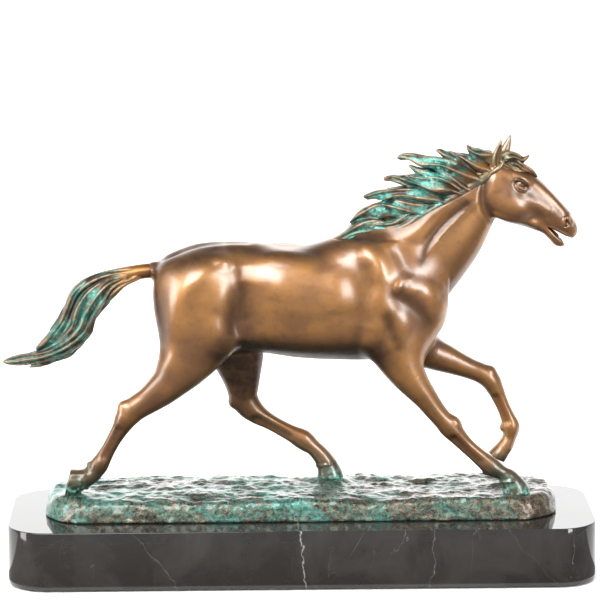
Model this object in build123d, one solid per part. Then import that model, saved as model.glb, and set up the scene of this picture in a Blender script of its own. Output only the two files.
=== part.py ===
"""Running-horse bronze on a marble plinth, as the castings and fasteners it is assembled from.

Millimetres, +Z up. The origin is the centre of the plinth's footprint, on the surface that the
felt pads rest on. The horse runs towards +X, so its right side faces -Y. The bronzes are hollow
or solid castings that meet on flat brazed joints, each located by a dowel. Studs and nuts hold
three hooves to the ground plate, and bolts hold the ground plate to the plinth.
"""

import os
from build123d import *

# Plinth and its fixings
PLINTH_LENGTH, PLINTH_DEPTH, PLINTH_HEIGHT = 400.0, 120.0, 40.0
PLINTH_CORNER_RADIUS, PLINTH_EDGE_BEVEL = 27.0, 0.6
PAD_RADIUS, PAD_THICKNESS = 10.0, 1.5
PAD_X, PAD_Y = 168.0, 38.0
BOLT_X = 110.0
BOLT_RADIUS, BOLT_HOLE_RADIUS = 3.0, 3.3
BOLT_HEAD_ACROSS_FLATS, BOLT_HEAD_HEIGHT = 10.0, 4.0
BOLT_WASHER_RADIUS, BOLT_WASHER_THICKNESS = 6.0, 1.6
COUNTERBORE_RADIUS, COUNTERBORE_DEPTH = 10.0, 22.0
PLINTH_TOP = PAD_THICKNESS + PLINTH_HEIGHT

# Ground plate, a shell open underneath
PLATE_LENGTH, PLATE_DEPTH, PLATE_HEIGHT = 352.0, 76.0, 15.5
PLATE_CORNER_RADIUS, PLATE_DRAFT_DEG, PLATE_EDGE_RADIUS = 30.0, 12.0, 3.0
PLATE_SKIN, PLATE_RIM = 4.5, 8.0
BOSS_RADIUS, BOSS_BORE_RADIUS = 8.0, 3.05
PLATE_TOP = PLINTH_TOP + PLATE_HEIGHT
MOUND_SPREAD = 5.0

# Hoof studs, one under each hoof that stands on the plate
STUD_RADIUS, STUD_HOLE_RADIUS, STUD_TOP = 2.0, 2.05, 64.5
NUT_ACROSS_FLATS, NUT_THICKNESS = 7.0, 3.2
STUD_WASHER_RADIUS, STUD_WASHER_THICKNESS = 4.5, 0.8
STUD_TAIL = 1.0

# Brazed joints
DOWEL_RADIUS, DOWEL_HOLE_RADIUS, DOWEL_HALF_LENGTH = 2.0, 2.03, 6.0
WALL = 4.0
BRAZE_GAP = 0.1

# Stations along each form: x, z, half depth in the side view, half width across the horse.
NECK = [(60, 203, 42, 25), (73, 213, 37, 20), (88, 224.5, 31, 16), (102.5, 236.5, 25, 13.5),
        (114.5, 250, 19, 11.5), (124, 260, 15.5, 11), (131, 266.5, 13.5, 10)]
HEAD = [(131, 264.5, 16, 10), (139, 262.5, 17.5, 12), (147, 259, 17.5, 11.5), (155, 254.5, 15.2, 9.5),
        (164, 249.3, 12, 7.6), (173, 243.6, 9.4, 6.8), (180, 238.2, 7.2, 6.8), (185, 234.6, 4, 5)]
JAW = [(150, 246, 7, 6.5), (160, 240, 5, 5.2), (168, 233.5, 3.6, 4.6), (175, 228.3, 2.6, 4)]
TAIL = [(-88, 210, 5.2, 5), (-100, 209.5, 4.7, 4.6), (-112, 208, 5, 5), (-124, 203.5, 6.8, 6.2),
        (-136, 196.5, 9.5, 7.6), (-146, 188, 11.5, 8.5), (-152.5, 176, 11.5, 8.5), (-160, 163, 10, 8),
        (-170, 154, 7.2, 6.5), (-181, 149.3, 5, 5), (-192, 148.3, 3.4, 3.5), (-202, 148, 0.9, 0.9)]
FORELOCK = [(138, 284.5, 3, 3), (144, 286.5, 3, 3.6), (151, 283.5, 2.6, 3.6), (157, 279, 2.2, 3),
            (162, 273.2, 1.2, 1.6)]
# Stations of the trunk: x, top z, bottom z, half width.
TRUNK = [(-99, 204, 172, 9), (-95, 213, 163, 16), (-84, 221.5, 155, 24.5), (-68, 227, 152, 31),
         (-48, 228.5, 154, 33), (-25, 224, 156, 31.5), (0, 221, 152, 32), (25, 225, 149.5, 33),
         (50, 232, 147.5, 33), (72, 228, 148, 30), (88, 212, 153, 22), (98, 196, 166, 12)]
LEG_Y = {"right_fore": -17, "left_fore": 17, "right_hind": -17, "left_hind": 18}
LEGS = {
    "right_fore": [(66, 166, 20, 13), (68, 149, 15, 12), (74.5, 137, 11, 10), (82.5, 125.5, 8.4, 8),
                   (90, 115.5, 7.2, 7), (95, 109, 7, 7), (101, 102.3, 7.6, 7.4), (107, 95.8, 6.2, 6),
                   (113, 89.5, 5.3, 4.8), (120, 83, 5.4, 4.8), (128.5, 75.8, 7, 6.2), (137, 69.5, 5.4, 5.6),
                   (144.5, 62, 5, 5.4)],
    "left_fore": [(66, 158, 17, 12), (80, 152, 14.5, 11.5), (93, 146.5, 10.5, 9.5), (106, 140.5, 8.4, 8),
                  (117, 136, 6.8, 6.8), (125, 133, 6.4, 6.6), (130.5, 129, 6.8, 7), (134.3, 122.8, 5.6, 6),
                  (139, 113, 4.8, 4.8), (143, 104, 4.4, 4.4), (146, 94.5, 5.8, 5.6), (145.4, 86.5, 4.4, 4.8),
                  (139.5, 77.5, 4.6, 5)],
    "right_hind": [(-68, 172, 26, 15), (-75, 153.5, 18.5, 13.5), (-85.5, 139.5, 12.4, 10),
                   (-96.5, 128.5, 10.4, 8.4), (-115.5, 115, 8.6, 7.2), (-121, 108, 6.2, 6), (-126, 99.5, 4.8, 4.8),
                   (-131.5, 89, 4.7, 4.7), (-138, 77.8, 6.2, 5.8), (-144, 71.6, 5.4, 5.8), (-151, 67.4, 5, 5.4)],
    "left_hind": [(-53, 170, 24, 14), (-46.5, 153, 17.5, 13), (-43, 138.5, 14, 10.5), (-41, 127, 10.4, 8.6),
                  (-39.3, 117.5, 9.2, 7.6), (-35, 109, 7.6, 6.6), (-26, 102, 5.6, 5.2), (-14, 95, 5, 4.8),
                  (-4, 89, 5.2, 4.8), (4.3, 84, 6.8, 6), (11.5, 76.5, 5.2, 5.6), (17, 67.5, 5, 5.4)],
}
# Each leg, the head and the tail are cast apart and brazed on at one station of their form.
LEG_JOINT, HEAD_JOINT, TAIL_JOINT = 2, 4, 1
# Hooves: coronet centre (x, z), sole centre (x, z), half length of the sole, half width.
HOOVES = {
    "right_fore": ((142, 65), (147, 57), 10.0, 8.2),
    "left_fore": ((142, 81), (135.8, 73), 6.8, 6.6),
    "right_hind": ((-147, 69.5), (-158, 64.8), 7.2, 7.6),
    "left_hind": ((15.5, 71), (20, 60.5), 9.4, 8.0),
}
# Hooves that stand on the plate: x of the stud, and the z of the hoof's underside there.
STUDS = {"right_fore": (148.0, 57.0), "right_hind": (-156.0, 58.5), "left_hind": (20.0, 60.5)}
# Side outline of the mane, from the withers up over the lock tips to the poll and back along the crest.
MANE = [(22, 231), (31, 241), (34, 245), (46, 253), (43, 260), (62, 265), (57, 271), (75, 275),
        (67, 285), (79, 288), (96, 283), (93, 289), (112, 287), (113, 294), (125, 290), (129, 285),
        (128, 274), (115, 266), (98, 256), (76, 244), (55, 236), (36, 230)]
MANE_HALF_WIDTH = 4.2
# Ears: y of the base and of the tip, then (x, z) of the base and of the tip.
EARS = {"right_ear": (-6.0, -9.0, (130.5, 277), (136.5, 297.5)),
        "left_ear": (5.5, 7.5, (134.5, 280.5), (142, 299.2))}


def across(x, y, z, direction, half_depth, half_width):
    """An ellipse square to a direction given in the side view, half_width being along Y."""
    plane = Plane(origin=(x, y, z), x_dir=(0, 1, 0), z_dir=(direction[0], 0, direction[1]))
    return plane * Ellipse(half_width, half_depth)


def heading(stations, i):
    """Direction of a form at one of its stations, from the station before to the one after."""
    before, after = stations[max(i - 1, 0)], stations[min(i + 1, len(stations) - 1)]
    return (after[0] - before[0], after[1] - before[1])


def limb(stations, y=0.0, first=0, last=None, grow=0.0):
    """A smooth solid through elliptical stations, each one square to the line through its neighbours."""
    last = len(stations) - 1 if last is None else last
    faces = []
    for i in range(first, last + 1):
        x, z, half_depth, half_width = stations[i]
        faces.append(across(x, y, z, heading(stations, i), half_depth + grow, half_width + grow))
    return loft(faces)


def trunk(shrink=0.0):
    """The barrel of the body through upright elliptical stations, or its core if shrunk."""
    faces = []
    for x, top, bottom, half_width in TRUNK[1:-1] if shrink > 0 else TRUNK:
        plane = Plane(origin=(x, 0, (top + bottom) / 2), x_dir=(0, 1, 0), z_dir=(1, 0, 0))
        faces.append(plane * Ellipse(half_width - shrink, (top - bottom) / 2 - shrink))
    return loft(faces)


def joint_plane(stations, joint, y=0.0):
    dx, dz = heading(stations, joint)
    return Plane(origin=(stations[joint][0], y, stations[joint][1]), x_dir=(0, 1, 0), z_dir=(dx, 0, dz))


def dowel(stations, joint, radius, y=0.0):
    """A cylinder through a brazed joint, half of it in each casting."""
    return extrude(joint_plane(stations, joint, y) * Circle(radius), DOWEL_HALF_LENGTH, both=True)


def dowels(radius):
    legs = [dowel(LEGS[name], LEG_JOINT, radius, y) for name, y in LEG_Y.items()]
    return legs + [dowel(NECK, HEAD_JOINT, radius), dowel(TAIL, TAIL_JOINT, radius)]


def upright(radius, x, y, low, high):
    return Pos(x, y, (low + high) / 2) * Cylinder(radius, high - low)


def hexagon_prism(across_flats, x, y, low, high):
    hexagon = RegularPolygon(across_flats / 2, 6, major_radius=False)
    return extrude(Plane(origin=(x, y, low)) * hexagon, high - low)


def hoof(name):
    """A hoof flaring from the coronet to the sole, which lies flat if the hoof is planted."""
    (cx, cz), (sx, sz), half_length, half_width = HOOVES[name]
    y = LEG_Y[name]
    planted = name in ("right_fore", "left_hind")
    slope = (sx - cx, sz - cz)
    coronet = across(cx, y, cz, slope, half_length * 0.62, half_width * 0.82)
    sole = across(sx, y, sz, (0, -1) if planted else slope, half_length, half_width)
    return loft([coronet, sole])


def leg(name):
    y = LEG_Y[name]
    halves = split(limb(LEGS[name], y), joint_plane(LEGS[name], LEG_JOINT, y), keep=Keep.TOP)
    shape = halves.solids().sort_by(SortBy.VOLUME)[-1] + hoof(name)
    shape -= dowel(LEGS[name], LEG_JOINT, DOWEL_HOLE_RADIUS, y)
    if name in STUDS:
        x, sole = STUDS[name]
        shape -= Pos(x, y, sole - 25) * Box(60, 60, 50)
        shape -= upright(STUD_HOLE_RADIUS, x, y, sole - 1, STUD_TOP)
    return shape


def body_casting():
    """Trunk and neck in one hollow casting, with solid roots for the legs and the tail."""
    shape = trunk() + limb(NECK, last=HEAD_JOINT)
    for name, y in LEG_Y.items():
        shape += limb(LEGS[name], y, last=LEG_JOINT)
    shape += limb(TAIL, last=TAIL_JOINT)
    shape -= trunk(shrink=WALL)
    shape -= limb(NECK, first=1, last=HEAD_JOINT - 1, grow=-WALL)
    for hole in dowels(DOWEL_HOLE_RADIUS):
        shape -= hole
    return shape


def head_casting():
    """Upper neck, skull and jaw, solid."""
    shape = limb(NECK, first=HEAD_JOINT) + limb(HEAD) + limb(JAW)
    return shape - dowel(NECK, HEAD_JOINT, DOWEL_HOLE_RADIUS)


def tail_casting():
    return limb(TAIL, first=TAIL_JOINT) - dowel(TAIL, TAIL_JOINT, DOWEL_HOLE_RADIUS)


def mane_casting():
    """The mane as one plate with flame-shaped locks, clear of the crest by the braze gap."""
    outline = make_face(Polyline(*[(x, z) for x, z in MANE], close=True))
    slab = extrude(Plane.XZ * outline, MANE_HALF_WIDTH, both=True)
    for form in (limb(NECK, last=HEAD_JOINT, grow=BRAZE_GAP), limb(NECK, first=HEAD_JOINT, grow=BRAZE_GAP),
                 limb(HEAD, grow=BRAZE_GAP), trunk(shrink=-BRAZE_GAP)):
        slab -= form
    return slab


def ear(name):
    """A leaf-shaped ear, pointed at the tip."""
    base_y, tip_y, (bx, bz), (tx, tz) = EARS[name]
    faces = []
    for share, half_wide, half_thick in ((0.0, 2.2, 1.6), (0.35, 3.4, 1.7), (0.7, 2.3, 1.3), (1.0, 0.5, 0.5)):
        x, z = bx + (tx - bx) * share, bz + (tz - bz) * share
        faces.append(across(x, base_y + (tip_y - base_y) * share, z, (tx - bx, tz - bz), half_wide, half_thick))
    return loft(faces) - limb(HEAD, grow=BRAZE_GAP)


def ground_plate():
    """Shell under a drafted slab, with mounds for the hind hooves and bosses for the plinth bolts."""
    foot = Plane(origin=(0, 0, PLINTH_TOP))
    outline = RectangleRounded(PLATE_LENGTH, PLATE_DEPTH, PLATE_CORNER_RADIUS)
    shape = extrude(foot * outline, PLATE_HEIGHT, taper=PLATE_DRAFT_DEG)
    top_edges = shape.faces().sort_by(Axis.Z)[-1].edges()
    shape = fillet(top_edges, PLATE_EDGE_RADIUS)
    for name, (x, sole) in STUDS.items():
        rise = sole - PLATE_TOP
        if rise > 0:
            mound = Pos(x, LEG_Y[name], PLATE_TOP - 1 + (rise + 1) / 2) * Cone(11 + MOUND_SPREAD, 11, rise + 1)
            shape += mound
    hollow = RectangleRounded(PLATE_LENGTH - 2 * PLATE_RIM, PLATE_DEPTH - 2 * PLATE_RIM,
                              PLATE_CORNER_RADIUS - PLATE_RIM)
    shape -= extrude(foot * hollow, PLATE_HEIGHT - PLATE_SKIN)
    for side in (-1, 1):
        shape += upright(BOSS_RADIUS, side * BOLT_X, 0, PLINTH_TOP, PLATE_TOP - PLATE_SKIN + 0.5)
        shape -= upright(BOSS_BORE_RADIUS, side * BOLT_X, 0, PLINTH_TOP, PLATE_TOP - PLATE_SKIN)
    for name, (x, sole) in STUDS.items():
        shape -= upright(STUD_HOLE_RADIUS, x, LEG_Y[name], PLINTH_TOP, sole + 1)
    return shape


def plinth():
    block = Pos(0, 0, PAD_THICKNESS + PLINTH_HEIGHT / 2) * Box(PLINTH_LENGTH, PLINTH_DEPTH, PLINTH_HEIGHT)
    block = fillet(block.edges().filter_by(Axis.Z), PLINTH_CORNER_RADIUS)
    rims = block.faces().sort_by(Axis.Z)[0].edges() + block.faces().sort_by(Axis.Z)[-1].edges()
    block = chamfer(rims, PLINTH_EDGE_BEVEL)
    for side in (-1, 1):
        block -= upright(BOLT_HOLE_RADIUS, side * BOLT_X, 0, 0, PLINTH_TOP)
        block -= upright(COUNTERBORE_RADIUS, side * BOLT_X, 0, 0, PAD_THICKNESS + COUNTERBORE_DEPTH)
    return block


def plinth_bolt(side):
    seat = PAD_THICKNESS + COUNTERBORE_DEPTH - BOLT_WASHER_THICKNESS
    head = hexagon_prism(BOLT_HEAD_ACROSS_FLATS, side * BOLT_X, 0, seat - BOLT_HEAD_HEIGHT, seat)
    return head + upright(BOLT_RADIUS, side * BOLT_X, 0, seat, PLATE_TOP - PLATE_SKIN - 1)


def washer(outer, inner, x, y, low, high):
    return upright(outer, x, y, low, high) - upright(inner, x, y, low, high)


def export(name, *pieces):
    shape = pieces[0] if len(pieces) == 1 else Compound(children=[piece.solids()[0] for piece in pieces])
    shape.label = name
    export_step(shape, f"parts/{name}.step")


def export_base():
    seat = PAD_THICKNESS + COUNTERBORE_DEPTH
    corners = [(-1, -1), (1, -1), (1, 1), (-1, 1)]
    export("marble_plinth", plinth())
    export("ground_plate", ground_plate())
    export("felt_pads", *[upright(PAD_RADIUS, sx * PAD_X, sy * PAD_Y, 0, PAD_THICKNESS) for sx, sy in corners])
    export("plinth_bolts", *[plinth_bolt(side) for side in (-1, 1)])
    export("plinth_washers", *[washer(BOLT_WASHER_RADIUS, BOLT_HOLE_RADIUS, side * BOLT_X, 0,
                                      seat - BOLT_WASHER_THICKNESS, seat) for side in (-1, 1)])


def export_hoof_fixings():
    skin_under = PLATE_TOP - PLATE_SKIN
    nut_top = skin_under - STUD_WASHER_THICKNESS
    nut_low = nut_top - NUT_THICKNESS
    spots = [(x, LEG_Y[name]) for name, (x, sole) in STUDS.items()]
    export("hoof_studs", *[upright(STUD_RADIUS, x, y, nut_low - STUD_TAIL, STUD_TOP) for x, y in spots])
    export("hoof_nuts", *[hexagon_prism(NUT_ACROSS_FLATS, x, y, nut_low, nut_top)
                          - upright(STUD_HOLE_RADIUS, x, y, nut_low - 1, nut_top + 1) for x, y in spots])
    export("hoof_washers", *[washer(STUD_WASHER_RADIUS, STUD_HOLE_RADIUS, x, y, nut_top, skin_under)
                             for x, y in spots])


def export_horse():
    export("body_casting", body_casting())
    export("head_casting", head_casting())
    export("tail_casting", tail_casting())
    for name in LEG_Y:
        export(f"{name}_leg", leg(name))
    export("mane_casting", mane_casting())
    export("forelock", limb(FORELOCK) - limb(HEAD, grow=BRAZE_GAP))
    for name in EARS:
        export(name, ear(name))
    export("joint_dowels", *dowels(DOWEL_RADIUS))


os.makedirs("parts", exist_ok=True)
export_base()
export_hoof_fixings()
export_horse()
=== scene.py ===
"""Running-horse bronze on a marble plinth: visual model, materials, light and camera.

The horse is sculpted as a block of distance values on a grid (solid where negative), in
millimetres, and skinned into one closed mesh per casting. Meshes are written in metres.
"""
import math

import bmesh
import bpy
import numpy as np
from mathutils import Matrix, Vector
from mathutils.geometry import tessellate_polygon


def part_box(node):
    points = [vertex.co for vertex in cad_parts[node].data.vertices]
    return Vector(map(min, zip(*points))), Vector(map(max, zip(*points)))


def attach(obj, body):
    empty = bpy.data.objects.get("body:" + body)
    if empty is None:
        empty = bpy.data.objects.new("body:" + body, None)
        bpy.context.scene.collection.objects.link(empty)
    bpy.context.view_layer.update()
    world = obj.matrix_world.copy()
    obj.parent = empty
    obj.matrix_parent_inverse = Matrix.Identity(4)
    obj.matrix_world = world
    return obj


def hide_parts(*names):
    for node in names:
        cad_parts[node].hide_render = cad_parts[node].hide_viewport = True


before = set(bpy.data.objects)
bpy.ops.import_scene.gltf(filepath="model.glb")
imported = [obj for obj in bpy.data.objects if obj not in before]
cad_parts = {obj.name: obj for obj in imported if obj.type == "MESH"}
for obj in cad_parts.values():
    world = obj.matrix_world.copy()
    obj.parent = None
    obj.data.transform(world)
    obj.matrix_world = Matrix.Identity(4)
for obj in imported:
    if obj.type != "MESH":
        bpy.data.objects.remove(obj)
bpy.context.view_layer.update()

COARSE = 1.0
# Distance where there is no clay yet, how far past its fillet a form is worked out, and the least
# distance on the outermost layers of a block, which closes its skin.
EMPTY, MARGIN, OUTSIDE = 40.0, 3, 0.5


# ---------------- clay

class Clay:
    """Distance values in millimetres on a regular grid."""

    def __init__(self, low, high, step):
        self.low, self.step = np.array(low, np.float32), step * COARSE
        self.count = np.ceil((np.array(high) - self.low) / self.step).astype(int) + 1
        self.field = np.full(self.count, EMPTY, np.float32)
        _, self.axes = self.window(self.low, self.low + self.step * (self.count - 1))

    def window(self, low, high, both=False):
        """Slices over a box, and its mirror image if both, and the coordinates in them as open axes."""
        if both:
            high[1] = max(abs(low[1]), abs(high[1]))
            low[1] = -high[1]
        first = np.clip(np.floor((np.array(low) - self.low) / self.step).astype(int), 0, self.count)
        last = np.clip(np.ceil((np.array(high) - self.low) / self.step).astype(int) + 1, 0, self.count)
        if (last <= first).any():
            return None, None
        spans = list(zip(first, last))
        axes = [start + self.step * np.arange(*span, dtype=np.float32)
            for start, span in zip(self.low, spans)]
        return tuple(slice(*span) for span in spans), np.ix_(*axes)

    def apply(self, part, distance, k, cut):
        if cut:
            self.field[part] = -smooth_min(-self.field[part], distance, k)
        else:
            self.field[part] = smooth_min(self.field[part], distance, k)


def smooth_min(a, b, k):
    """The smaller of two distances, with a fillet about k wide where they are close."""
    if k <= 0:
        return np.minimum(a, b)
    h = np.clip(k - np.abs(a - b), 0, None) * np.float32(1 / k)
    return np.minimum(a, b) - h * h * np.float32(k * 0.25)


def smooth_path(points, gap):
    """Catmull-Rom points through rows of numbers, about gap apart."""
    p = np.array(points, np.float32)
    if len(p) < 3:
        n = max(1, math.ceil(np.linalg.norm(p[-1, :3] - p[0, :3]) / gap))
        t = np.linspace(0, 1, n + 1)[:, None]
        return p[0] + (p[-1] - p[0]) * t
    slope = np.gradient(p, axis=0)
    out = []
    for a, b, ta, tb in zip(p[:-1], p[1:], slope[:-1], slope[1:]):
        n = max(1, math.ceil(np.linalg.norm(b[:3] - a[:3]) / gap))
        for t in np.arange(n) / n:
            s, u = t * t, t * t * t
            out.append((2 * u - 3 * s + 1) * a + (u - 2 * s + t) * ta + (3 * s - 2 * u) * b + (u - s) * tb)
    out.append(p[-1])
    return np.array(out, np.float32)


def side_path(points, gap):
    """A smooth path through points (x, z) in the side view."""
    return smooth_path([(x, 0, z) for x, z in points], gap)[:, [0, 2]]


def near_path(x, z, route):
    """Squared distance to a route in the side view, and how far along it, from 0 to 1."""
    nearest, along = 1e6, 0
    for i, (a, b) in enumerate(zip(route[:-1], route[1:])):
        dx, dz = b - a
        t = np.clip(((x - a[0]) * dx + (z - a[1]) * dz) / (dx * dx + dz * dz + 1e-9), 0, 1)
        distance = (x - a[0] - t * dx) ** 2 + (z - a[1] - t * dz) ** 2
        along = np.where(distance < nearest, (i + t) / (len(route) - 1), along)
        nearest = np.minimum(nearest, distance)
    return nearest, along


def oval(offsets, radii):
    """Roughly the distance to an ellipsoid, or to an ellipse, around the origin."""
    scaled = np.sqrt(sum((d / r) ** 2 for d, r in zip(offsets, radii)))
    slope = np.sqrt(sum((d / r ** 2) ** 2 for d, r in zip(offsets, radii))) + 1e-6
    return scaled * (scaled - 1) / slope


def ball(clay, centre, radii, k=3.0, turn=0.0, cut=False, both=False):
    """An ellipsoid with a fillet k: radii along, across (Y) and up, turned in the side view in degrees."""
    reach = max(radii) + k + MARGIN
    part, axes = clay.window([c - reach for c in centre], [c + reach for c in centre], both)
    if part is None:
        return
    x, y, z = [axis - c for axis, c in zip(axes, centre)]
    if both:
        y = np.abs(axes[1]) - abs(centre[1])
    c, s = math.cos(math.radians(turn)), math.sin(math.radians(turn))
    distance = oval((x * c + z * s, y, z * c - x * s), radii)
    clay.apply(part, distance.astype(np.float32), k, cut)


def balls(clay, rows, **how):
    """Ellipsoids from rows: centre, radii, fillet and, if it is not 0, turn."""
    for centre, radii, *fillet_turn in rows:
        ball(clay, centre, radii, *fillet_turn, **how)


def tube(clay, stations, k=3.0, gap=2.5, inner=0.6, cut=False, both=False, strands=0, depth=0.0, seed=0.0):
    """A form through stations: x, y, z, radius in the side view and, if it differs, half width across.
    Its fillet is k towards other clay and inner between its own steps, which are gap apart. Its
    strands are parted by V-shaped grooves if depth is positive, or by thin crests if negative."""
    path = smooth_path([(*station, station[3])[:5] for station in stations], gap)
    path[:, 3:] = np.maximum(path[:, 3:], 0.25)
    reach = path[:, 3:].max() + k + MARGIN
    part, _ = clay.window(path[:, :3].min(0) - reach, path[:, :3].max(0) + reach, both)
    if part is None:
        return
    form = np.full([s.stop - s.start for s in part], EMPTY, np.float32)
    for i, (a, b) in enumerate(zip(path[:-1], path[1:])):
        reach = max(a[3], a[4], b[3], b[4]) + k + MARGIN
        piece, axes = clay.window(np.minimum(a[:3], b[:3]) - reach, np.maximum(a[:3], b[:3]) + reach, both)
        if piece is None:
            continue
        x, y, z = axes
        y = np.abs(y) if both else y
        ay, by = (abs(a[1]), abs(b[1])) if both else (a[1], b[1])
        dx, dy, dz = b[0] - a[0], by - ay, b[2] - a[2]
        length = dx * dx + dy * dy + dz * dz + 1e-9
        t = np.clip(((x - a[0]) * dx + (y - ay) * dy + (z - a[2]) * dz) / length, 0, 1)
        ex, ey, ez = x - a[0] - t * dx, y - ay - t * dy, z - a[2] - t * dz
        radius, width = a[3] + t * (b[3] - a[3]), a[4] + t * (b[4] - a[4])
        distance = oval((np.sqrt(ex * ex + ez * ez), ey), (radius, width))
        if strands:
            along = (i + t) / (len(path) - 1)
            across = (dx * ez - dz * ex) / math.sqrt(dx * dx + dz * dz + 1e-9) / radius
            bend = 1.3 * np.sin(along * 4.2 + seed * 2.3) + 0.7 * np.sin(along * 9.1 + across * 1.7 + seed)
            wave = np.abs(np.sin(across * strands * 1.5708 + seed + bend))
            groove = 1 - wave if depth > 0 else wave
            distance = distance + abs(depth) * groove * np.minimum(radius * 0.25, 1.0)
        inside = tuple(slice(p.start - q.start, p.stop - q.start) for p, q in zip(piece, part))
        form[inside] = smooth_min(form[inside], distance.astype(np.float32), inner)
    clay.apply(part, form, k, cut)


def press(clay, path, width, depth, inner=4.0):
    """Presses a soft groove along a path (x, z) in the side view, or raises a ridge if depth is negative.
    It reaches both flanks from inner outwards."""
    route = side_path(path, 2.0)
    low, high = route.min(0) - 2.6 * width, route.max(0) + 2.6 * width
    part, axes = clay.window((low[0], -60, low[1]), (high[0], 60, high[1]))
    if part is None:
        return
    nearest, along = near_path(axes[0], axes[2], route)
    fade = 1 - (2 * along - 1) ** 2
    outwards = np.clip((np.abs(axes[1]) - inner) / 5, 0, 1)
    clay.field[part] += (depth * np.exp(-nearest / width ** 2) * fade * outwards).astype(np.float32)


def ripple(axes, scale, seed):
    """Smooth noise between -1 and 1 on open axes, with a lattice of the given cell sizes."""
    scale = np.broadcast_to(np.array(scale, np.float32), 3)
    steps = [values.ravel() / cell for values, cell in zip(axes, scale)]
    steps = [at - int(np.floor(at.min())) for at in steps]
    count = [int(np.ceil(at.max())) + 2 for at in steps]
    out = np.random.RandomState(seed).uniform(-1, 1, count).astype(np.float32)
    for axis, at in enumerate(steps):
        i = np.floor(at).astype(int)
        t = (at - i).astype(np.float32)
        t = (t * t * (3 - 2 * t)).reshape([-1 if axis == a else 1 for a in range(3)])
        out = np.take(out, i, axis) * (1 - t) + np.take(out, i + 1, axis) * t
    return out


def curvature(field, passes):
    """How convex (positive) or hollow (negative) the surfaces of the field are, after some smoothing."""
    f = np.clip(field, -12, 12)
    for _ in range(passes):
        for axis in range(3):
            f = 0.5 * f + 0.25 * (np.roll(f, 1, axis) + np.roll(f, -1, axis))
    return sum(np.roll(f, 1, a) + np.roll(f, -1, a) for a in range(3)) - 6 * f


def sample(values, clay, vertices):
    """Values on the clay's grid, read at vertices by trilinear interpolation."""
    at = (vertices - clay.low) / clay.step
    i = np.clip(np.floor(at).astype(int), 0, np.array(values.shape) - 2)
    t = at - i
    out = 0
    for corner in np.ndindex(2, 2, 2):
        out = out + np.abs(1 - np.array(corner) - t).prod(1) * values[tuple((i + corner).T)]
    return out


def skin(clay):
    """Vertices and quads over the zero surface of the clay, by surface nets."""
    f = clay.field.copy()
    for axis in range(3):
        ends = np.moveaxis(f, axis, 0)
        ends[[0, -1]] = np.maximum(ends[[0, -1]], OUTSIDE)
    solid = f < 0
    nx, ny, nz = f.shape
    corners = list(np.ndindex(2, 2, 2))
    total = np.zeros((nx - 1, ny - 1, nz - 1), np.int8)
    for i, j, k in corners:
        total += solid[i:nx - 1 + i, j:ny - 1 + j, k:nz - 1 + k]
    cells = np.argwhere((total > 0) & (total < 8))
    value = [f[tuple((cells + corner).T)] for corner in corners]
    point, hits = np.zeros((len(cells), 3)), np.zeros(len(cells))
    for a, b in [(a, a + bit) for a in range(8) for bit in (1, 2, 4) if not a & bit]:
        step = np.array(corners[b]) - np.array(corners[a])
        crossed = (value[a] < 0) != (value[b] < 0)
        t = np.where(crossed, value[a] / np.where(crossed, value[a] - value[b], 1), 0)
        point += np.where(crossed[:, None], np.array(corners[a]) + t[:, None] * step, 0)
        hits += crossed
    vertices = clay.low + (cells + point / hits[:, None]) * clay.step
    number = np.full(total.shape, -1, np.int64)
    number[tuple(cells.T)] = np.arange(len(cells))
    quads = []
    for axis in range(3):
        a, b = [slice(1, -1)] * 3, [slice(1, -1)] * 3
        a[axis], b[axis] = slice(0, -1), slice(1, None)
        at = np.argwhere(solid[tuple(a)] != solid[tuple(b)])
        base = at + 1
        base[:, axis] = at[:, axis]
        u, v = [(1, 2), (2, 0), (0, 1)][axis]
        ring = []
        for du, dv in ((-1, -1), (0, -1), (0, 0), (-1, 0)):
            c = base.copy()
            c[:, u] += du
            c[:, v] += dv
            ring.append(number[tuple(c.T)])
        ring = np.stack(ring, 1)
        flip = ~solid[tuple(base.T)]
        ring[flip] = ring[flip][:, ::-1]
        quads.append(ring)
    return vertices, np.concatenate(quads)


def put(name, data):
    """An object in the scene."""
    obj = bpy.data.objects.new(name, data)
    bpy.context.scene.collection.objects.link(obj)
    return obj


def smooth_object(name, vertices, quads):
    """A smooth mesh object from vertices in millimetres."""
    mesh = bpy.data.meshes.new(name)
    mesh.vertices.add(len(vertices))
    mesh.vertices.foreach_set("co", (vertices * 0.001).astype(np.float32).ravel())
    mesh.loops.add(quads.size)
    mesh.loops.foreach_set("vertex_index", quads.astype(np.int32).ravel())
    mesh.polygons.add(len(quads))
    mesh.polygons.foreach_set("loop_start", np.arange(0, quads.size, 4, dtype=np.int32))
    mesh.update(calc_edges=True)
    mesh.validate()
    mesh.shade_smooth()
    return put(name, mesh)


# ---------------- the horse's forms

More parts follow.
